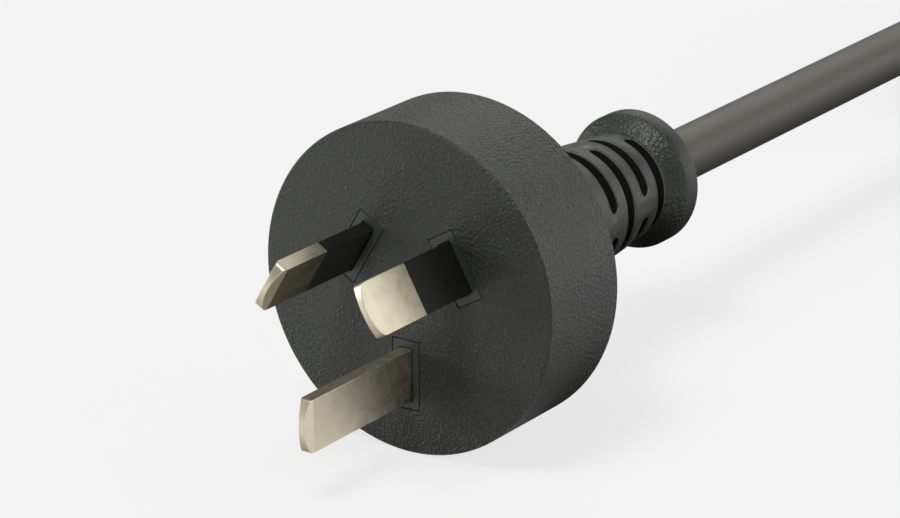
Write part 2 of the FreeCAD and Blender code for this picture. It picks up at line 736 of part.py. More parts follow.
def make_core_ends():
    """The stripped end of the lead: three covered cores that part and lie down, and their bare wires."""
    diameter, core = size("cord_diameter"), size("core_diameter")
    floor = -size("body_diameter") / 2
    stub_end = size("hank_near") + size("hank_half_length") - size("end_stub")
    middle = Vector(-diameter / 2, stub_end, floor + diameter / 2)
    made = []
    for name, (reach, across) in CORE_ENDS.items():
        start = middle + bundle_place(name, 0)
        stop = Vector(across, stub_end - reach, floor + core / 2)
        path = offset_path(start, stop, start.y - STRIPPED_RUN, stop.y + LYING_RUN)
        made.append(add_feature(f"{name}_core_end", tube_on(path, core / 2)))
        bare_stop = stop - Vector(0, size("bare_end_length"), 0)
        made.append(add_feature(f"{name}_bare_end", round_bar(stop, bare_stop, size("wire_diameter") / 2)))
    return made


carrier, carrier_blank = make_carrier()
pins = [make_blade(name) for name in BLADES]
sleeves = [make_sleeve(name) for name in BLADES if BLADES[name]["sleeved"]]
bands, band_blanks = zip(*[make_band(name) for name in BLADES])
doc.recompute()
wires, covers, core_blanks = make_cores()

sheath_blank = doc.addObject("Part::Cylinder", "sheath_blank")
sheath_blank.setExpression("Radius", "Sizes.cord_diameter / 2")
sheath_blank.setExpression("Height", "Sizes.body_length - Sizes.sheath_start")
sheath_blank.Placement = Placement(Vector(0, 0, 0), Rotation(Vector(1, 0, 0), -90))
sheath_blank.setExpression("Placement.Base.y", "Sizes.sheath_start")
sheath_root = add_cut("sheath_root", sheath_blank, add_union("cores_in_sheath", core_blanks))

body_blank = make_body_blank()
add_slots(body_blank)
body_blank.Tip = add_windows(body_blank)
doc.recompute()

# What the moulding flows round. A band's blank is a feature of its own body, so it gets the body's place.
insides = [carrier_blank, sheath_blank]
for name, blank in zip(BLADES, band_blanks):
    block = add_feature(f"{name}_band_space", blank.Shape.copy())
    block.Placement = blade_frame(name).multiply(block.Placement)
    insides.append(block)
insides += [*pins, *core_blanks, *wires]
moulding = body_blank
for inside in insides[:-1]:
    moulding = add_cut(f"moulding_round_{inside.Label}", moulding, inside)
moulding = add_cut("overmould_body", moulding, insides[-1])

cord = add_feature("cord", tube_along(CORD_ROUTE, size("cord_diameter")))
hank = add_feature("cord_hank", make_hank())
tie = add_feature("cord_tie", make_tie())
core_ends = make_core_ends()
doc.recompute()

pieces = [moulding, carrier, *pins, *sleeves, *bands, *wires, *covers, sheath_root]
pieces += [cord, hank, tie, *core_ends]

for item in doc.Objects:
    if "Invalid" in item.State or "Error" in item.State:
        raise RuntimeError(f"{item.Label} failed: {item.State}")

os.makedirs("parts", exist_ok=True)
for piece in pieces:
    shape = piece.Shape
    if shape.isNull() or not shape.isValid():
        raise RuntimeError(f"{piece.Label} has no valid shape")
    shape.exportStep(f"parts/{piece.Label}.step")
    print(f"{piece.Label}: {len(shape.Solids)} solid, {shape.Volume:.1f} mm3")
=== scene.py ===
# %% [markdown]
# # A moulded type I plug, finished in Blender
#
# The plug is a round disc with a slotted neck, three flat metal blades and a round grey lead. Its solid
# pieces come ready made and in place. What is left is what the eye judges: the grain of the moulding, the
# nickel on the blades, the satin of the lead, and the way the spare lead is put away.
#
# Every cell below makes one piece or one finish. Lengths are in metres, as Blender wants them, and written
# as a number of millimetres times MM.

# %% The fixed frame
import math

import bmesh
import bpy
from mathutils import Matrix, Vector


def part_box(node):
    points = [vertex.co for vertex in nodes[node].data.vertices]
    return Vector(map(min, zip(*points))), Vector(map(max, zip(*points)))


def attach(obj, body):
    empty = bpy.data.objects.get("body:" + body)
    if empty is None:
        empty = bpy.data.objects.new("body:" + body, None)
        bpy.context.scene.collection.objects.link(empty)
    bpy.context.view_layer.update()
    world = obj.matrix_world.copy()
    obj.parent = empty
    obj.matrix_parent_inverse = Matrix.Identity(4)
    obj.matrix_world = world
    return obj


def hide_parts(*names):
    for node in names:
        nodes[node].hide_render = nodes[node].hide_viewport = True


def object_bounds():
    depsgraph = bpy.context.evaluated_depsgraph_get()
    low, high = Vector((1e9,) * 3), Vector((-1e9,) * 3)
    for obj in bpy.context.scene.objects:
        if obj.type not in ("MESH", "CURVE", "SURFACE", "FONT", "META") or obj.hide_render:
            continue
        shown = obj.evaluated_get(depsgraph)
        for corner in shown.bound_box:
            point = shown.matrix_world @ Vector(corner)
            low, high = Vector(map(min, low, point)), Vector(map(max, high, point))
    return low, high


MM = 0.001

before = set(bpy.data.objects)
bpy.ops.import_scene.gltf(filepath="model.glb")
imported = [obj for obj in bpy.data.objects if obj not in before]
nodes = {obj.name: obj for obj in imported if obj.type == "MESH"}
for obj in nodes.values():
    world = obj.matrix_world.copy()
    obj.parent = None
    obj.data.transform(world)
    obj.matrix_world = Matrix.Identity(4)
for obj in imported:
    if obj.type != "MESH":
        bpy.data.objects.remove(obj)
cad_box = [list(corner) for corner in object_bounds()]
print("pieces in the frame:", len(nodes))

# %% [markdown]
# ## The camera
#
# A long lens far away and a short lens close by can frame a plug alike, but the disc's ellipse and the way
# the blades shrink give the lens away. These values came from matching the blades' tips, the disc's rims
# and the neck's end. The camera is set before any looks, because the lead has to leave the picture where
# the real one does.
#
# A camera and a lamp are placed in the same way, by a turn, a rise and a distance from what they look at,
# so one helper aims both.

# %% The camera
CAMERA_TURN = 34.82
CAMERA_RISE = 19.74
CAMERA_DISTANCE = 423.2 * MM
CAMERA_TARGET = Vector((6.19, 0.0, 5.05)) * MM
CAMERA_NEAR = 10 * MM
LENS_MM = 149.88
SENSOR_MM = 36


def new_object(name, data):
    obj = bpy.data.objects.new(name, data)
    bpy.context.scene.collection.objects.link(obj)
    return obj


def aim(obj, target, turn, rise, distance):
    """Stands obj off from target and turns it to face it. turn goes from the front, -Y, towards +X."""
    turn, rise = math.radians(turn), math.radians(rise)
    away = Vector(
        (math.sin(turn) * math.cos(rise), -math.cos(turn) * math.cos(rise), math.sin(rise))
    )
    obj.location = target + away * distance
    obj.rotation_euler = (-away).to_track_quat("-Z", "Y").to_euler()


camera_data = bpy.data.cameras.new("camera")
camera_data.sensor_width = SENSOR_MM
camera_data.lens = LENS_MM
camera_data.clip_start = CAMERA_NEAR
camera = new_object("camera", camera_data)
aim(camera, CAMERA_TARGET, CAMERA_TURN, CAMERA_RISE, CAMERA_DISTANCE)
bpy.context.scene.camera = camera
print("camera stands at", tuple(round(value / MM) for value in camera.location), "mm")

# %% [markdown]
# ## Sums on surfaces
#
# A material that changes over its surface is arithmetic: grain times depth, wear where two masks meet.
# Writing that as nodes and links hides it, so this small class wraps a socket, and Python's own operators
# add the Math nodes. Colours and vectors don't go through it, because a Math node would turn them grey.


# %% Arithmetic on sockets
# Noise lies round this value, and a blend at it takes half of each colour.
MIDDLE = 0.5


class Amount:
    """A number that varies over a surface, with the operators that sums need."""

    def __init__(self, finish, socket):
        self.finish = finish
        self.socket = socket

    def math(self, operation, *others):
        values = {index + 1: other for index, other in enumerate(others)}
        values[0] = self
        return self.finish.add("ShaderNodeMath", {"operation": operation}, values)

    def __add__(self, other):
        return self.math("ADD", other)

    def __sub__(self, other):
        return self.math("SUBTRACT", other)

    def __mul__(self, other):
        return self.math("MULTIPLY", other)

    def __truediv__(self, other):
        return self.math("DIVIDE", other)

    def __rsub__(self, other):
        return self.finish.add("ShaderNodeMath", {"operation": "SUBTRACT"}, {0: other, 1: self})

    __radd__ = __add__
    __rmul__ = __mul__

    def clipped(self):
        """Held between 0 and 1."""
        return self.finish.add("ShaderNodeClamp", {}, {"Value": self})

    def swing(self, share):
        """Noise as a swing to both sides of 0, times a share."""
        return (self - MIDDLE) * share


# %% [markdown]
# ## One way to make every finish
#
# Each finish is a Principled shader with fixed values, plus whatever varies. One method adds any node: its
# type, the settings that have to come first, and the values or links of its sockets. Positions are read in
# millimetres from the object's own coordinates, so a grain of 0.6 is 0.6 mm on every piece.


# %% A finish and its nodes
# A Mix node has a set of sockets for each kind of value. These are the numbers of its colour sockets.
MIX_FACTOR, MIX_FIRST, MIX_SECOND, MIX_RESULT = 0, 6, 7, 2


class Finish:
    """One material: the fixed values of its shader, and methods that add what varies."""

    def __init__(self, name, colour, roughness, metallic=0.0, **fixed):
        self.material = bpy.data.materials.new(name)
        self.material.use_nodes = True
        self.tree = self.material.node_tree
        self.shader = self.tree.nodes["Principled BSDF"]
        self.set("Base Color", colour)
        self.set("Roughness", roughness)
        self.set("Metallic", metallic)
        for socket, value in fixed.items():
            self.set(socket.replace("_", " "), value)

    def plug(self, value, entry):
        if isinstance(value, Amount):
            self.tree.links.new(value.socket, entry)
        else:
            entry.default_value = value

    def set(self, socket, value):
        self.plug(value, self.shader.inputs[socket])

    def add(self, kind, settings, sockets, output=0):
        node = self.tree.nodes.new(kind)
        for name, value in settings.items():
            setattr(node, name, value)
        for socket, value in sockets.items():
            self.plug(value, node.inputs[socket])
        return Amount(self, node.outputs[output])

    def millimetres(self):
        place = self.add("ShaderNodeTexCoord", {}, {}, "Object")
        sockets = {0: place, "Scale": 1 / MM}
        return self.add("ShaderNodeVectorMath", {"operation": "SCALE"}, sockets)

    def stretched(self, place, factors):
        sockets = {0: place, 1: factors}
        return self.add("ShaderNodeVectorMath", {"operation": "MULTIPLY"}, sockets)

    def axes(self, place):
        return [self.add("ShaderNodeSeparateXYZ", {}, {0: place}, axis) for axis in "XYZ"]

    def noise(self, place, width, detail=2.0, roughness=0.5):
        """Noise from 0 to 1 whose blobs are about this many millimetres wide."""
        sockets = {"Vector": place, "Scale": 1 / width, "Detail": detail, "Roughness": roughness}
        return self.add("ShaderNodeTexNoise", {}, sockets)

    def blend_colours(self, amount, first, second):
        sockets = {MIX_FACTOR: amount, MIX_FIRST: first, MIX_SECOND: second}
        return self.add("ShaderNodeMix", {"data_type": "RGBA"}, sockets, MIX_RESULT)

    def bump(self, height):
        """Raises the surface by a height in millimetres."""
        sockets = {"Height": height, "Distance": MM, "Strength": 1.0}
        self.set("Normal", self.add("ShaderNodeBump", {}, sockets))

    def even_grain(self, width, height):
        """The same fine grain all over, of a width and a height in millimetres."""
        self.bump(self.noise(self.millimetres(), width) * height)

    def patchy(self, roughness, swing, width, detail=2.0):
        """Roughness that swings round its middle value in patches of a width in millimetres."""
        patches = self.noise(self.millimetres(), width, detail)
        self.set("Roughness", patches.swing(swing) + roughness)


def screen_colour(red, green, blue):
    """The colour that shows on screen as these three levels from 0 to 255."""

    def linear(level):
        level = level / 255
        return level / 12.92 if level <= 0.04045 else ((level + 0.055) / 1.055) ** 2.4

    return (linear(red), linear(green), linear(blue), 1.0)


def grey(level):
    return (level, level, level, 1.0)


def dress(obj, finish):
    """Gives a piece one finish all over."""
    obj.data.materials.clear()
    obj.data.materials.append(finish.material)
    return obj


def piece_from(name, mesh, finish, stands_for=()):
    """A new piece that rides with the plug."""
    obj = new_object(name, mesh)
    dress(obj, finish)
    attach(obj, "root")
    if stands_for:
        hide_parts(*stands_for)
    return obj


# %% [markdown]
# ## The lead's route
#
# A lead is one length of something flexible, so it is one curve. A NURBS spline of order 3 follows its
# control points loosely, as a bent lead does, and stays straight where three of them are in line. It leaves
# the flared end straight and runs on past the edge of the picture. The rest is put away on the floor in a
# flat hank, tied in the middle: five loops, three on the far side of the tie and two on the near side.
#
# The loops are worked out by a loop in Python. On each side of the tie two strands lie side by side, and
# the next loop lies on top of the one before, a lead's thickness higher.

# %% The lead's sizes
LEAD = 6.8 * MM
FLOOR = cad_box[0][2]
NECK_TO_HANK = [
    Vector(place) * MM
    for place in (
        (0.0, 50.2, 0.0),
        (0.0, 107.5, 0.0),
        (0.0, 134.0, 0.0),
        (1.0, 160.5, -1.6),
        (2.9, 187.0, -2.4),
    )
]
HANK_NEAR = 174.5 * MM
HANK_HALF = 42.0 * MM
LOOP_RADIUS = 21.4 * MM
TIE_Y = HANK_NEAR + HANK_HALF
TIE_WIDTH = 5.0 * MM
TIE_WALL = 0.8 * MM
TIE_CLEARANCE = 0.5 * MM
STUB = 24.0 * MM
LAYERS = [FLOOR + LEAD * (level + 0.5) for level in range(3)]
print("the hank lies", round(TIE_Y / MM, 1), "mm behind the pin face")


# %% The loops of the hank
STRAND = LEAD / 2
WAIST = TIE_WIDTH / 2 + TIE_CLEARANCE
SWEEP_RADIUS = ((LOOP_RADIUS - STRAND) ** 2 + (HANK_HALF - WAIST) ** 2) / (4 * (LOOP_RADIUS - STRAND))
SWEEP_TURN = math.asin((HANK_HALF - WAIST) / 2 / SWEEP_RADIUS)
SWEEP_CORNERS = 2
LOOP_CORNERS = 6


def arc_corners(centre, radius, start, turn, count):
    """The corners of a polygon drawn round an arc: a quadratic spline through them follows the arc."""
    step = turn / count
    reach = radius / math.cos(step / 2)
    for number in range(count):
        angle = start + step * (number + 0.5)
        yield centre + Vector((math.cos(angle), math.sin(angle))) * reach


def loop_plan():
    """Corners of one loop seen from above, from the tie at the origin, up on the right, back on the left."""
    inner = Vector((STRAND + SWEEP_RADIUS, WAIST))
    outer = Vector((LOOP_RADIUS - SWEEP_RADIUS, HANK_HALF))
    swing_out = [Vector((STRAND, 0.0))]
    sweeps = [*arc_corners(inner, SWEEP_RADIUS, math.pi, -SWEEP_TURN, SWEEP_CORNERS)]
    sweeps += arc_corners(outer, SWEEP_RADIUS, -SWEEP_TURN, SWEEP_TURN, SWEEP_CORNERS)
    bend = arc_corners(Vector((0.0, HANK_HALF)), LOOP_RADIUS, 0.0, math.pi, LOOP_CORNERS)
    return [*swing_out, *sweeps, *bend, *(Vector((-corner.x, corner.y)) for corner in reversed(sweeps))]


# Where a loop drops to the layer below, as a share of a layer at each corner after the tie. It waits until
# it has swung clear of the lead's end, which lies under it.
DROP = (0.0, 0.0, 0.03, 0.42, 0.85)


def loop_in_place(side, level, drops):
    """One loop of the hank. side is 1 beyond the tie and -1 before it, and drops is 1 if it goes down."""
    points = []
    for number, corner in enumerate(loop_plan()):
        fallen = 0.0
        if drops:
            fallen = DROP[number] if number < len(DROP) else 1.0
        near_tie = max(0.0, 1 - corner.y / (HANK_HALF / 2))
        height = LAYERS[level] + LEAD * (drops - fallen) + TIE_WALL * near_tie
        points.append(Vector((side * corner.x, TIE_Y + side * corner.y, height)))
    return points


# The side, layer and drop of each loop, from the neck on.
LOOPS = ((1, 2, 0), (-1, 1, 1), (1, 1, 0), (-1, 0, 1), (1, 0, 0))

route = list(NECK_TO_HANK)
for side, level, drops in LOOPS:
    route += loop_in_place(side, level, drops)
route.append(Vector((-STRAND, TIE_Y, LAYERS[0] + TIE_WALL)))
route.append(Vector((-STRAND, TIE_Y - STUB / 2, LAYERS[0] + TIE_WALL / 4)))
route.append(Vector((-STRAND, TIE_Y - STUB, LAYERS[0])))
print("the lead's route has", len(route), "points")


# %% [markdown]
# ## The lead as one curve
#
# The curve's bevel gives the lead its round section. A curve keeps the piece light and lets its length be
# measured along its own line. Its sheath is satin, with a tone that drifts slowly and fine flow lines that
# run along it, as extruded plastic has.


# %% The lead
def add_spline(data, places):
    """Adds a NURBS spline of order 3 that starts and ends on its first and last points."""
    spline = data.splines.new("NURBS")
    spline.points.add(len(places) - 1)
    for point, place in zip(spline.points, places):
        point.co = (*place, 1.0)
    spline.order_u = 3
    spline.use_endpoint_u = True


def round_curve(name, radius, rounds, resolution, splines):
    """A curve whose splines all carry the same round section."""
    data = bpy.data.curves.new(name, "CURVE")
    data.dimensions = "3D"
    data.bevel_depth = radius
    data.bevel_resolution = rounds
    data.resolution_u = resolution
    data.use_fill_caps = True
    for places in splines:
        add_spline(data, places)
    return data


SHEATH_ROUGHNESS = 0.5
SHEATH_SHINE = 0.35
DRIFT_WIDTH = 9.0
FLOW_WIDTH = 0.5
FLOW_STRETCH = (1.0, 0.12, 1.0)
FLOW_HEIGHT = 0.004

lead_finish = Finish(
    "lead_satin", screen_colour(93, 88, 82), SHEATH_ROUGHNESS, Specular_IOR_Level=SHEATH_SHINE
)
lead_mm = lead_finish.millimetres()
lead_drift = lead_finish.noise(lead_mm, DRIFT_WIDTH)
lead_flow = lead_finish.noise(lead_finish.stretched(lead_mm, FLOW_STRETCH), FLOW_WIDTH)
lead_tone = lead_drift.swing(share=0.25) + lead_flow.swing(share=0.12) + MIDDLE
lead_finish.set(
    "Base Color",
    lead_finish.blend_colours(lead_tone.clipped(), screen_colour(86, 81, 75), screen_colour(98, 93, 87)),
)
lead_finish.set("Roughness", lead_drift.swing(share=0.1) + SHEATH_ROUGHNESS)
lead_finish.bump(lead_flow * FLOW_HEIGHT)

lead_curve = round_curve("lead", LEAD / 2, rounds=8, resolution=8, splines=[route])
lead = piece_from("lead", lead_curve, lead_finish, ("cord", "cord_hank"))
print("lead made:", len(lead.data.splines[0].points), "control points")

# %% [markdown]
# ## The stripped end
#
# Past the tie the sheath stops, and three covered cores part and lie down on the floor: brown for active,
# blue for neutral, green and yellow for earth. Each ends in a few millimetres of tinned strands. A plain
# bar would look like a nail, so seven thin strands are twisted together instead.

# %% Core colours
CORE = 2.4 * MM
CORE_GAP = 0.15 * MM
BARE = 1.3 * MM
BARE_LENGTH = 6.0 * MM
BUNDLE_RADIUS = (CORE + CORE_GAP) / math.sqrt(3)
COVER_ROUGHNESS = 0.35

brown_finish = Finish("core_brown", screen_colour(104, 62, 40), COVER_ROUGHNESS)
blue_finish = Finish("core_blue", screen_colour(44, 104, 168), COVER_ROUGHNESS)
earth_finish = Finish("core_green_yellow", screen_colour(60, 130, 60), COVER_ROUGHNESS)
for finish in (brown_finish, blue_finish, earth_finish):
    finish.even_grain(width=0.3, height=0.004)

# The yellow stripe is the side of the earth core that lies past this line, in millimetres.
STRIPE_X = -3.45
earth_x = earth_finish.axes(earth_finish.millimetres())[0]
stripe = earth_x.math("LESS_THAN", STRIPE_X)
earth_finish.set(
    "Base Color",
    earth_finish.blend_colours(stripe, screen_colour(52, 124, 58), screen_colour(214, 196, 52)),
)

tinned_finish = Finish("tinned_strands", screen_colour(196, 194, 188), roughness=0.28, metallic=1.0)
tinned_finish.even_grain(width=0.15, height=0.004)
print("a core is", round(CORE / MM, 2), "mm thick, its bare end", round(BARE_LENGTH / MM, 1), "mm long")

# %% The cores and their strands
# For each core: its place round the bundle in degrees, how far it reaches past the sheath and where it
# ends across the lead, both in millimetres, its finish and its material's name.
CORE_ENDS = {
    "active": (30, 20.0, 2.4, brown_finish, "core_brown"),
    "neutral": (150, 21.5, -8.6, blue_finish, "core_blue"),
    "earth": (270, 23.0, -3.2, earth_finish, "core_green_yellow"),
}
STRAND_COUNT = 6
STRAND_TURNS = 1.2
STRAND_STEPS = 8
# Two strands of the ring and the one in the middle lie across the bundle.
STRANDS_ACROSS = 3
# A core starts and ends straight for these lengths. Between them it has two corners, each given as the
# share of the way that it has gone along, across and down.
CORE_LEAVES = 3.0 * MM
CORE_ARRIVES = 3.5 * MM
CORE_BENDS = ((0.38, 0.25, 0.25), (0.66, 0.8, 0.85))
stub_end = Vector((-STRAND, TIE_Y - STUB, LAYERS[0]))


def bent_between(start, stop):
    """Corners of a gentle S from start to stop, both ends along Y."""
    corners = [start, start + Vector((0, -CORE_LEAVES, 0))]
    for along, across, down in CORE_BENDS:
        corner = start.lerp(stop, along)
        corner.x = start.x + (stop.x - start.x) * across
        corner.z = start.z + (stop.z - start.z) * down
        corners.append(corner)
    corners.append(stop + Vector((0, CORE_ARRIVES, 0)))
    corners.append(stop)
    return corners


def twisted_strands(name, start, length, radius):
    """A bundle of thin strands that run along -Y and wind round the one in the middle."""
    thin = radius / STRANDS_ACROSS
    splines = []
    for strand in range(STRAND_COUNT + 1):
        around = 0.0 if strand == STRAND_COUNT else radius - thin
        places = []
        for step in range(STRAND_STEPS + 1):
            share = step / STRAND_STEPS
            angle = 2 * math.pi * (strand / STRAND_COUNT + STRAND_TURNS * share)
            side = Vector((math.cos(angle), 0, math.sin(angle))) * around
            places.append(start + side + Vector((0, -length * share, 0)))
        splines.append(places)
    return round_curve(name, thin, rounds=3, resolution=4, splines=splines)


lead_ends = []
for name, (angle, reach, across, finish, slot) in CORE_ENDS.items():
    turn = math.radians(angle)
    start = stub_end + Vector((math.cos(turn), 0, math.sin(turn))) * BUNDLE_RADIUS
    stop = Vector((across * MM, stub_end.y - reach * MM, FLOOR + CORE / 2))
    core_curve = round_curve(
        f"{name}_core", CORE / 2, rounds=5, resolution=8, splines=[bent_between(start, stop)]
    )
    core = piece_from(f"{name}_core", core_curve, finish, (f"{name}_core_end",))
    strands_curve = twisted_strands(f"{name}_strands", stop, BARE_LENGTH, BARE / 2)
    strands = piece_from(
        f"{name}_strands", strands_curve, tinned_finish, (f"{name}_bare_end",)
    )
    lead_ends += [core, strands]
print("stripped end:", [end.name for end in lead_ends])

# %% [markdown]
# ## The tie
#
# A hank is held by a flat plastic strip with a wire down its middle. It goes once round the six strands and
# its ends are twisted together. The strip is its section, a flat bar with a raised rib, carried round a
# rounded rectangle. The twist is two strands wound round each other, with their ends left apart.

# %% The strip round the waist
TIE_RIB = 0.35 * MM
TIE_SHARP = math.radians(40)
# One half of the strip's section, from its edge to its rib: the share of the half width, and the height.
TIE_THIN = TIE_WALL - TIE_RIB
HALF_SECTION = (
    (1.0, 0.0),
    (1.0, TIE_THIN * 0.7),
    (0.9, TIE_THIN),
    (0.3, TIE_THIN),
    (0.2, TIE_WALL * 0.9),
)

tie_finish = Finish("tie_plastic", screen_colour(30, 30, 31), roughness=0.38)
tie_finish.even_grain(width=0.4, height=0.01)


def rounded_rectangle(half_width, half_height, radius, per_corner=8):
    """Points and outward directions round a rectangle with round corners, in X and Z."""
    for number in range(4):
        quarter = math.pi / 2 * number
        sign_x = 1 if number in (0, 3) else -1
        sign_z = 1 if number in (0, 1) else -1
        centre = Vector((sign_x * (half_width - radius), 0, sign_z * (half_height - radius)))
        for step in range(per_corner + 1):
            angle = quarter + math.pi / 2 * step / per_corner
            outward = Vector((math.cos(angle), 0, math.sin(angle)))
            yield centre + outward * radius, outward


def strip_mesh(name, middle, half_width, half_height, radius):
    """A closed strip: its section is flat with a rounded rib along the middle."""
    edge = TIE_WIDTH / 2
    section = [(-edge * across, up) for across, up in HALF_SECTION]
    section.append((0.0, TIE_WALL))
    section += [(edge * across, up) for across, up in reversed(HALF_SECTION)]
    mesh_maker = bmesh.new()
    rings = []
    for place, outward in rounded_rectangle(half_width, half_height, radius):
        ring = []
        for across, up in section:
            ring.append(mesh_maker.verts.new(middle + place + outward * up + Vector((0, across, 0))))
        rings.append(ring)
    for ring, following in zip(rings, rings[1:] + rings[:1]):
        for number in range(len(section)):
            after = (number + 1) % len(section)
            corners = (ring[number], ring[after], following[after], following[number])
            mesh_maker.faces.new(corners)
    bmesh.ops.recalc_face_normals(mesh_maker, faces=mesh_maker.faces)
    mesh = bpy.data.meshes.new(name)
    mesh_maker.to_mesh(mesh)
    mesh_maker.free()
    mesh.shade_smooth()
    mesh.set_sharp_from_angle(angle=TIE_SHARP)
    return mesh


tie_middle = Vector((0, TIE_Y, FLOOR + TIE_WALL + 1.5 * LEAD))
tie_strip = piece_from(
    "tie_strip",
    strip_mesh("tie_strip", tie_middle, LEAD, 1.5 * LEAD, STRAND),
    tie_finish,
    ("cord_tie",),
)
print("tie strip:", len(tie_strip.data.polygons), "faces")


# %% The twisted ends of the tie
TWIST_START = -5.0 * MM
TWIST_LENGTH = 15.0 * MM
TWIST_WIRE = 0.62 * MM
TWIST_SPREAD = 0.5 * MM
TWIST_TURNS = 3.2
TWIST_STEPS = 24
# The share of the twist's length after which its two ends part, how fast they do and how far they rise.
TWIST_PARTS = 0.86
TWIST_FORK = 6 * MM
TWIST_RISE = 0.4 * MM


def tie_twist():
    top = tie_middle.z + 1.5 * LEAD + TIE_WALL
    start = Vector((TWIST_START, TIE_Y, top + TWIST_SPREAD + TWIST_WIRE / 2))
    splines = []
    for strand in range(2):
        places = []
        for step in range(TWIST_STEPS + 1):
            share = step / TWIST_STEPS
            angle = math.pi * strand + 2 * math.pi * TWIST_TURNS * share
            across = Vector((0, math.cos(angle), math.sin(angle))) * TWIST_SPREAD
            if share >= TWIST_PARTS:
                spread = TWIST_SPREAD + (share - TWIST_PARTS) * TWIST_FORK
                across = Vector((0, (1 - 2 * strand) * spread, abs(math.sin(angle)) * TWIST_RISE))
            places.append(start + Vector((TWIST_LENGTH * share, 0, 0)) + across)
        splines.append(places)
    return round_curve("tie_twist", TWIST_WIRE, rounds=4, resolution=8, splines=splines)


twist = piece_from("tie_twist", tie_twist(), tie_finish)

print("the lead carries", len(lead_ends) + 2, "pieces with it")

# %% [markdown]
# ## Solid pieces with edges that catch the light
#
# No moulded or stamped edge is perfectly sharp: a few hundredths of a millimetre of roundness draw the
# bright line along it. The frame's meshes come as separate faces with sharp edges. A copy is welded, and a
# small bevel rounds only the edges that turn by more than a limit. Flat pieces are first made whole again,
# because a bevel needs clean faces. The moulding keeps its triangles, because its cone would buckle.


# %% A rounded copy of a solid piece
WELD = 0.0005 * MM
FLAT_ANGLE = math.radians(0.5)
# Faces that meet at less than this are shaded as one curve. The chamfer of the rim turns by a little more.
SMOOTH_ANGLE = math.radians(22)
BEVEL_STEPS = 2


def rounded_copy(node, name, width, limit, flat=True):
    """A copy of a node's mesh whose edges are rounded by width where they turn by more than limit degrees."""
    mesh = nodes[node].data.copy()
    mesh.name = name
    worker = bmesh.new()
    worker.from_mesh(mesh)
    bmesh.ops.remove_doubles(worker, verts=worker.verts, dist=WELD)
    if flat:
        bmesh.ops.dissolve_limit(worker, angle_limit=FLAT_ANGLE, verts=worker.verts, edges=worker.edges)
    worker.to_mesh(mesh)
    worker.free()
    obj = new_object(name, mesh)
    bevel = obj.modifiers.new("edges", "BEVEL")
    bevel.width = width
    bevel.segments = BEVEL_STEPS
    bevel.limit_method = "ANGLE"
    bevel.angle_limit = math.radians(limit)
    bevel.harden_normals = True
    mesh.shade_smooth()
    mesh.set_sharp_from_angle(angle=SMOOTH_ANGLE)
    shown = bpy.data.meshes.new_from_object(obj.evaluated_get(bpy.context.evaluated_depsgraph_get()))
    bpy.data.objects.remove(obj)
    print(name, len(shown.polygons), "faces")
    return shown


# %% [markdown]
# ## The moulding's finish
#
# The mould was spark eroded. The pin face and the disc's side have a fine leathery grain, soft bumps about
# a third of a millimetre across, and on the face they are deeper low down. The flare's grain is a coarser
# one, which glitters where light grazes it. The neck and the rim are smoother. Inside the slots the colour
# is painted near black as painted shade, and a faint light lip along their edges is a painted highlight.
#
# The grain is far too fine to model, so it is bump. Each part of the moulding is picked out by where it
# lies along and round the axis, which needs no painted map and still holds if the mesh changes.

# %% Where the moulding's parts lie, in millimetres
DISC_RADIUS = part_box("overmould_body")[1][0] / MM
DISC_DEPTH = 14.0
NECK_ROOT_RADIUS = 9.8
NECK_TIP_RADIUS = 6.65
SLOTS_START = 31.4
FLARE_START = 45.9
RIM_START = 47.6
EDGE = 0.25
BODY_ROUGHNESS = 0.48
BODY_SHINE = 0.45

body_finish = Finish(
    "moulded_grain", screen_colour(54, 57, 53), BODY_ROUGHNESS, Specular_IOR_Level=BODY_SHINE
)
body_mm = body_finish.millimetres()
body_x, body_y, body_z = body_finish.axes(body_mm)
from_axis = (body_x * body_x + body_z * body_z).math("SQRT")
on_face = body_y.math("LESS_THAN", EDGE)
on_side = from_axis.math("GREATER_THAN", DISC_RADIUS - EDGE) * (1.0 - on_face)
on_flare = body_y.math("GREATER_THAN", FLARE_START) * body_y.math("LESS_THAN", RIM_START)
low_down = (body_z / -DISC_RADIUS).clipped()
print("disc radius:", round(DISC_RADIUS, 2), "mm")

# %% Grain: its width and how high it stands on each part, in millimetres
FINE_GRAIN = 0.35
FLARE_GRAIN = 0.42
FACE_HEIGHT = 0.14
LOW_HEIGHT = 0.16
SIDE_HEIGHT = 0.19
NECK_HEIGHT = 0.045
FLARE_HEIGHT = 0.17

fine_grain = body_finish.noise(body_mm, FINE_GRAIN, detail=1.0)
flare_grain = body_finish.noise(body_mm, FLARE_GRAIN, detail=1.0)
face_height = on_face * (low_down * LOW_HEIGHT + FACE_HEIGHT)
grain_height = face_height + on_side * SIDE_HEIGHT + NECK_HEIGHT
body_finish.bump(fine_grain * grain_height + flare_grain * on_flare * FLARE_HEIGHT)
print("grain is", FINE_GRAIN, "mm wide, and", FLARE_GRAIN, "mm on the flare")

# %% Colour, with painted shade inside the slots and a painted lip highlight
NECK_TAPER = (NECK_ROOT_RADIUS - NECK_TIP_RADIUS) / (FLARE_START - DISC_DEPTH)
# How far below the neck's skin the painted shade and the painted lip highlight start, and over what depth
# they come, in millimetres.
SLOT_SHADE_START = 0.17
SLOT_SHADE_DEPTH = 0.1
LIP_HIGHLIGHT_START = 0.03
LIP_HIGHLIGHT_FADE = 0.04
BLOTCH_WIDTH = 7.0
# What a swing of the noise does to the tone, which goes from the dark skin colour at 0 to the light at 1.
BLOTCH_TONE = 0.3
GRAIN_TONE = 1.6
LOW_GRAIN_TONE = 1.6
# The flare's tone is lifted as a whole: a painted highlight.
FLARE_PAINTED_LIGHT = 0.45
# What the blotches, the slots and the flare do to the roughness.
BLOTCH_ROUGHER = 0.1
SLOT_ROUGHER = 0.5
FLARE_SMOOTHER = 0.09

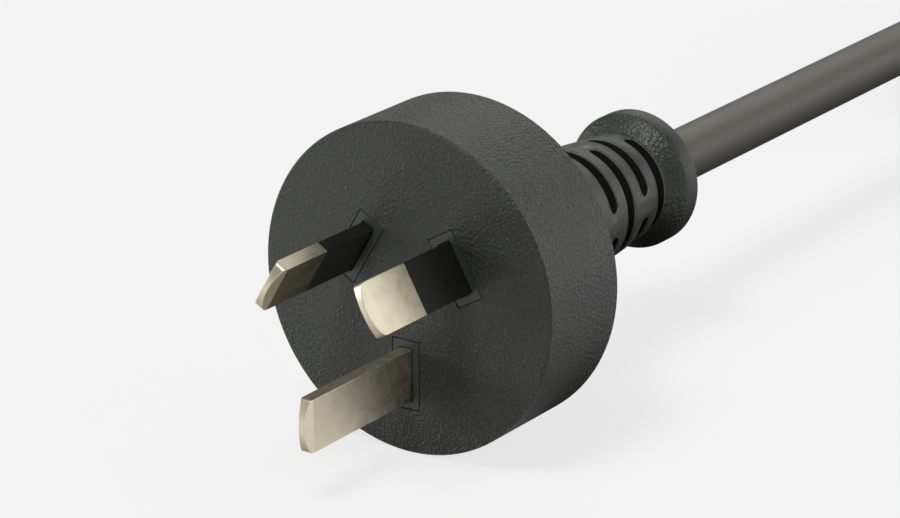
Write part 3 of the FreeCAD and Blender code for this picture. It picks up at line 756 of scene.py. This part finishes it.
body_blotch = body_finish.noise(body_mm, BLOTCH_WIDTH)
neck_radius = (body_y - DISC_DEPTH) * -NECK_TAPER + NECK_ROOT_RADIUS
below_skin = neck_radius - from_axis
beside_slots = body_y.math("GREATER_THAN", SLOTS_START) * body_y.math("LESS_THAN", FLARE_START)
# Painted shade: inside the slots the colour goes near black, and the surface is rougher there.
painted_slot_shade = ((below_skin - SLOT_SHADE_START) / SLOT_SHADE_DEPTH).clipped() * beside_slots
# Painted highlight: a light lip along the slots' edges.
painted_lip_highlight = ((below_skin - LIP_HIGHLIGHT_START) / LIP_HIGHLIGHT_FADE).clipped() * beside_slots * (1.0 - painted_slot_shade)
# The grain's tone follows the same noise as its bump, so its pits are darker: painted shade in the pits,
# stronger low on the face.
grain_tone = fine_grain.swing(on_face * low_down * LOW_GRAIN_TONE + GRAIN_TONE)
# The flare's lift in this tone is a painted highlight.
body_tone = (body_blotch.swing(BLOTCH_TONE) + grain_tone + on_flare * FLARE_PAINTED_LIGHT + MIDDLE).clipped()
skin_colour = body_finish.blend_colours(body_tone, screen_colour(37, 39, 36), screen_colour(66, 69, 65))
skin_with_lip_highlight = body_finish.blend_colours(painted_lip_highlight, skin_colour, screen_colour(128, 128, 123))
body_finish.set("Base Color", body_finish.blend_colours(painted_slot_shade, skin_with_lip_highlight, screen_colour(2, 2, 2)))
roughness_change = body_blotch.swing(BLOTCH_ROUGHER) + painted_slot_shade * SLOT_ROUGHER - on_flare * FLARE_SMOOTHER
body_finish.set("Roughness", roughness_change + BODY_ROUGHNESS)
print("the neck narrows by", round(NECK_TAPER, 3), "mm on each millimetre")

# %% The moulding
moulding = piece_from(
    "moulding",
    rounded_copy("overmould_body", "moulding", width=0.1 * MM, limit=35, flat=False),
    body_finish,
    ("overmould_body",),
)
print("made:", moulding.name)

# %% [markdown]
# ## The carrier and the sleeves
#
# The carrier is a harder plastic than the moulding round it, smooth where its pads meet the face. The
# sleeves are darker still, close to black. Both are flat, so only a fine unevenness keeps them from looking
# like paper: roughness that drifts in patches, and a grain too low to see as such.

# %% Smooth plastics
PAD_ROUGHNESS = 0.4
SLEEVE_ROUGHNESS = 0.45

pad_finish = Finish("carrier_smooth", screen_colour(58, 61, 58), PAD_ROUGHNESS)
pad_finish.patchy(PAD_ROUGHNESS, swing=0.2, width=2.5)
pad_finish.even_grain(width=0.25, height=0.008)

sleeve_finish = Finish("sleeve_black", screen_colour(24, 24, 22), SLEEVE_ROUGHNESS)
sleeve_finish.patchy(SLEEVE_ROUGHNESS, swing=0.2, width=1.5, detail=3.0)
sleeve_finish.even_grain(width=0.3, height=0.006)
print("finishes:", pad_finish.material.name, sleeve_finish.material.name)

# %% The carrier and the two sleeves
piece_from(
    "carrier",
    rounded_copy("pin_carrier", "carrier", width=0.03 * MM, limit=50),
    pad_finish,
    ("pin_carrier",),
)
for name in ("active", "neutral"):
    piece_from(
        f"{name}_sleeve",
        rounded_copy(f"{name}_pin_sleeve", f"{name}_sleeve", width=0.06 * MM, limit=50),
        sleeve_finish,
        (f"{name}_pin_sleeve",),
    )

# %% [markdown]
# ## The blades
#
# The blades are nickel on brass: a warm grey metal, dulled by handling. It is bright at the tips, and
# towards the root a thin uneven tarnish sets in. Faint scratches run the way the blade goes into a socket.
# Most of what the eye sees in it is what it mirrors, so the rolled wide faces are kept smooth. The narrow
# edges were sheared, which leaves them rougher: they gather light from all round. Faces that look down get
# painted shade: the tarnish colour is laid on them by which way they face, and their roughness is lowered.
#
# One finish could serve all three blades, but the sheared edges are found by which way a face looks, and
# the blades are turned differently. So a function makes one finish a blade.

# %% Nickel with a thin tarnish, and painted shade on faces that look down
NICKEL = screen_colour(224, 216, 192)
# This colour serves both the tarnish and the painted shade on faces that look down.
TARNISH_AND_SHADE_COLOUR = screen_colour(130, 121, 100)
# Where along the blade the tarnish starts, and over what length it comes, in millimetres.
TARNISH_FROM = -17.0
TARNISH_OVER = 16.0
# Roughness of the wide faces, and what is added on the edges, by tarnish and by scratches.
WIDE_FACE = 0.4
SHEARED_EDGE = 0.08
TARNISH_ROUGHER = 0.1
SCRATCH_ROUGHER = 0.08
# What the painted shade on faces that look down takes off the roughness, and how strongly it lays the tarnish
# colour on them.
UNDERSIDE_SMOOTHER = 0.1
UNDERSIDE_PAINTED_SHADE = 1.45
# Above this share of its normal along the width, a face is one of the narrow sheared edges.
EDGE_FROM = 0.7
# Clouds and specks of tarnish: their width in millimetres, and how much each counts.
CLOUD_WIDTH, CLOUD_SHARE = 2.4, 2.8
SPECK_WIDTH, SPECK_SHARE = 0.3, 1.2
TARNISH_GRAIN = 0.6
# The clouds' noise is cut a little below its middle, which leaves more tarnish than bare nickel.
CLOUD_CUT = 0.45
# How much of the clouds shows at the tip, how much more at the root, and the tarnish all over there.
PATCHY_TIP = 0.12
PATCHY_ROOT = 0.8
EVEN_ROOT = 0.35
# Scratches are long along Y and thin across it.
SCRATCH_STRETCH = (5.0, 0.3, 5.0)
SCRATCH_HEIGHT = 0.002


def worn_nickel(name, width_turn):
    """Nickel for one blade, whose width is turned by width_turn degrees from upright towards +X."""
    finish = Finish(name, NICKEL, WIDE_FACE, metallic=1.0)
    place = finish.millimetres()
    clouds = finish.noise(place, CLOUD_WIDTH, 4.0, TARNISH_GRAIN)
    specks = finish.noise(place, SPECK_WIDTH, 3.0, TARNISH_GRAIN)
    scratches = finish.noise(finish.stretched(place, SCRATCH_STRETCH), 1.0, 3.0)
    handled = ((finish.axes(place)[1] - TARNISH_FROM) / TARNISH_OVER).clipped()
    facing_x, _, facing_z = finish.axes(finish.add("ShaderNodeNewGeometry", {}, {}, "Normal"))
    # Painted shade: faces that look down take on the tarnish colour, more the further down they face.
    underside_shade = (facing_z * -1.0).clipped() * UNDERSIDE_PAINTED_SHADE
    uneven = (clouds - CLOUD_CUT) * CLOUD_SHARE + specks.swing(SPECK_SHARE)
    patchy = uneven * (handled * PATCHY_ROOT + PATCHY_TIP)
    tarnish_and_shade = (patchy + handled * handled * EVEN_ROOT + underside_shade).clipped()
    finish.set("Base Color", finish.blend_colours(tarnish_and_shade, NICKEL, TARNISH_AND_SHADE_COLOUR))

    turn = math.radians(width_turn)
    along_width = facing_x * math.sin(turn) + facing_z * math.cos(turn)
    on_edge = along_width.math("ABSOLUTE").math("GREATER_THAN", EDGE_FROM)
    worn = scratches.swing(SCRATCH_ROUGHER) - underside_shade * UNDERSIDE_SMOOTHER
    finish.set("Roughness", tarnish_and_shade * TARNISH_ROUGHER + worn + on_edge * SHEARED_EDGE + WIDE_FACE)
    finish.bump(scratches * SCRATCH_HEIGHT)
    return finish


# %% The three blades
for name, width_turn in (("active", -30), ("neutral", 30), ("earth", 0)):
    piece_from(
        f"{name}_blade",
        rounded_copy(f"{name}_pin", f"{name}_blade", width=0.06 * MM, limit=30),
        worn_nickel(f"{name}_nickel", width_turn),
        (f"{name}_pin",),
    )

# %% [markdown]
# ## What the moulding hides
#
# The bands, wires and covers inside are never seen, but they are part of the plug, and anyone who cuts the
# model open will look at them. Each gets its own finish where it lies.

# %% Finishes of the hidden pieces
copper_finish = Finish("bare_copper", screen_colour(196, 122, 84), roughness=0.3, metallic=1.0)
copper_finish.even_grain(width=0.2, height=0.01)
band_finish = Finish("tinned_band", screen_colour(190, 190, 186), roughness=0.32, metallic=1.0)
band_finish.even_grain(width=0.3, height=0.01)
for name, (_, _, _, cover_finish, cover_slot) in CORE_ENDS.items():
    dress(nodes[f"{name}_crimp_band"], band_finish)
    dress(nodes[f"{name}_conductor"], copper_finish)
    dress(nodes[f"{name}_core_cover"], cover_finish)
dress(nodes["sheath_root"], lead_finish)
print("dressed inside:", 3 * len(CORE_ENDS) + 1, "pieces")

# %% [markdown]
# ## Floor and light
#
# The picture has a plain pale ground with a few broad, faint streaks. The camera sees just that, and part
# of it is the ground's own glow, so that the plug's shadow stays soft and thin. Shiny surfaces mirror it
# pale too, apart from the shade that lies under the plug. Light that bounces finds dark cloth instead, so
# the plug's underside stays dark, and on the cloth one small spot, low at the front left, glows for bounced
# light only, as a lamp would. It throws the soft shadows of the blades up the pin face and to the right.
#
# Five soft lamps light the rest. The camera doesn't see them, but the metal mirrors them.

# %% The floor
FLOOR_REACH = 4.0
FLOOR_ROUGHNESS = 0.9
# Colour and glow for the camera, for mirrors, and the colour for light that bounces.
FLOOR_PALE = 0.18
FLOOR_GLOW = 0.75
FLOOR_MIRRORED = 0.75
MIRRORED_GLOW = 0.24
FLOOR_BOUNCE = 0.08
# The glowing spot, which lights the plug as a lamp would, fades from its middle to its rim, in millimetres.
SPOT_GLOW = 24.0
SPOT_X, SPOT_Y = -27.0, -42.0
SPOT_RADIUS = 16.0
# The shade under the plug: its half width, where it starts along the plug and how soft its edge is.
SHADE_HALF = 34.0
SHADE_FRONT = 4.0
SHADE_EDGE = 12.0
# The streaks' size in millimetres, their turn in radians and how far they lift the glow.
STREAK_WIDTH = 60.0
STREAK_LENGTH = 900.0
STREAK_TURN = 0.41
STREAK_DEPTH = 0.02

floor_mesh = bpy.data.meshes.new("floor")
corners = [(x * FLOOR_REACH, y * FLOOR_REACH, FLOOR) for x, y in ((-1, -1), (1, -1), (1, 1), (-1, 1))]
floor_mesh.from_pydata(corners, [], [(0, 1, 2, 3)])
floor = new_object("floor", floor_mesh)
print("floor at", round(FLOOR / MM, 2), "mm")

# %% The floor's streaks
floor_finish = Finish(
    "floor", grey(FLOOR_BOUNCE), FLOOR_ROUGHNESS, Specular_IOR_Level=0.0, Emission_Strength=1.0
)
floor_x, floor_y, _ = floor_finish.axes(floor_finish.millimetres())
across = floor_x * math.cos(STREAK_TURN) + floor_y * math.sin(STREAK_TURN)
along = floor_y * math.cos(STREAK_TURN) - floor_x * math.sin(STREAK_TURN)
streak_place = floor_finish.add(
    "ShaderNodeCombineXYZ", {}, {"X": across / STREAK_WIDTH, "Y": along / STREAK_LENGTH}
)
streak_noise = floor_finish.noise(streak_place, 1.0, detail=0.0)
streak = streak_noise * STREAK_DEPTH + (FLOOR_GLOW - STREAK_DEPTH / 2)
glow = floor_finish.add("ShaderNodeCombineColor", {}, {"Red": streak, "Green": streak, "Blue": streak})
print("streaks are about", STREAK_WIDTH, "mm wide")

# %% What the camera, the mirrors and the bounced light see of the floor
by_camera, by_gloss, by_glass = [
    floor_finish.add("ShaderNodeLightPath", {}, {}, f"Is {kind} Ray")
    for kind in ("Camera", "Glossy", "Transmission")
]
in_mirrors = (by_gloss + by_glass).clipped()
in_shade = ((SHADE_HALF - floor_x.math("ABSOLUTE")) / SHADE_EDGE).clipped()
in_shade = in_shade * ((floor_y - SHADE_FRONT) / SHADE_EDGE).clipped()
mirrored = floor_finish.blend_colours(in_shade, grey(FLOOR_MIRRORED), grey(FLOOR_BOUNCE))
bounced = floor_finish.blend_colours(in_mirrors, grey(FLOOR_BOUNCE), mirrored)
floor_finish.set("Base Color", floor_finish.blend_colours(by_camera, bounced, grey(FLOOR_PALE)))

# A glowing spot in the floor, seen only by light that bounces, lights the plug from low at the front left.
spot_x, spot_y = floor_x - SPOT_X, floor_y - SPOT_Y
from_spot = (spot_x * spot_x + spot_y * spot_y).math("SQRT") / SPOT_RADIUS
glow_spot = floor_finish.blend_colours((1.0 - from_spot).clipped(), grey(0.0), grey(SPOT_GLOW))
sheen = floor_finish.blend_colours(in_shade, grey(MIRRORED_GLOW), grey(0.0))
unseen_glow = floor_finish.blend_colours(in_mirrors, glow_spot, sheen)
floor_finish.set("Emission Color", floor_finish.blend_colours(by_camera, unseen_glow, glow))
floor.data.materials.append(floor_finish.material)
print("the floor's finish has", len(floor_finish.tree.nodes), "nodes")

# %% The lamps
LAMP_DISTANCE = 0.9
# Each lamp's turn and rise in degrees, its width and height in metres and its power in watts.
LAMPS = {
    "left_low": (-66, 5, (0.5, 0.3), 2.5),
    "front_top": (0, 61, (0.32, 0.32), 4.4),
    "back_top": (195, 37, (0.8, 0.5), 2.5),
    "right_back": (136, 8, (1.0, 0.5), 3.3),
    "right_side": (103, 26, (0.45, 0.45), 0.95),
}


def soft_lamp(name, turn, rise, size, power):
    """A soft lamp that faces the middle of the pin face and that the camera doesn't see."""
    data = bpy.data.lights.new(name, "AREA")
    data.shape = "RECTANGLE"
    data.size, data.size_y = size
    data.energy = power
    lamp = new_object(name, data)
    lamp.visible_camera = False
    aim(lamp, Vector(), turn, rise, LAMP_DISTANCE)


for name, (turn, rise, size, power) in LAMPS.items():
    soft_lamp(name, turn, rise, size, power)
print("lamps:", ", ".join(LAMPS))

# %% The surroundings
WORLD_LEVEL = 0.12

world = bpy.data.worlds.new("studio")
bpy.context.scene.world = world
world.use_nodes = True
sky = world.node_tree.nodes["Background"]
sky.inputs["Color"].default_value = grey(WORLD_LEVEL)
bpy.context.scene.view_settings.view_transform = "Standard"
print("world level:", WORLD_LEVEL)
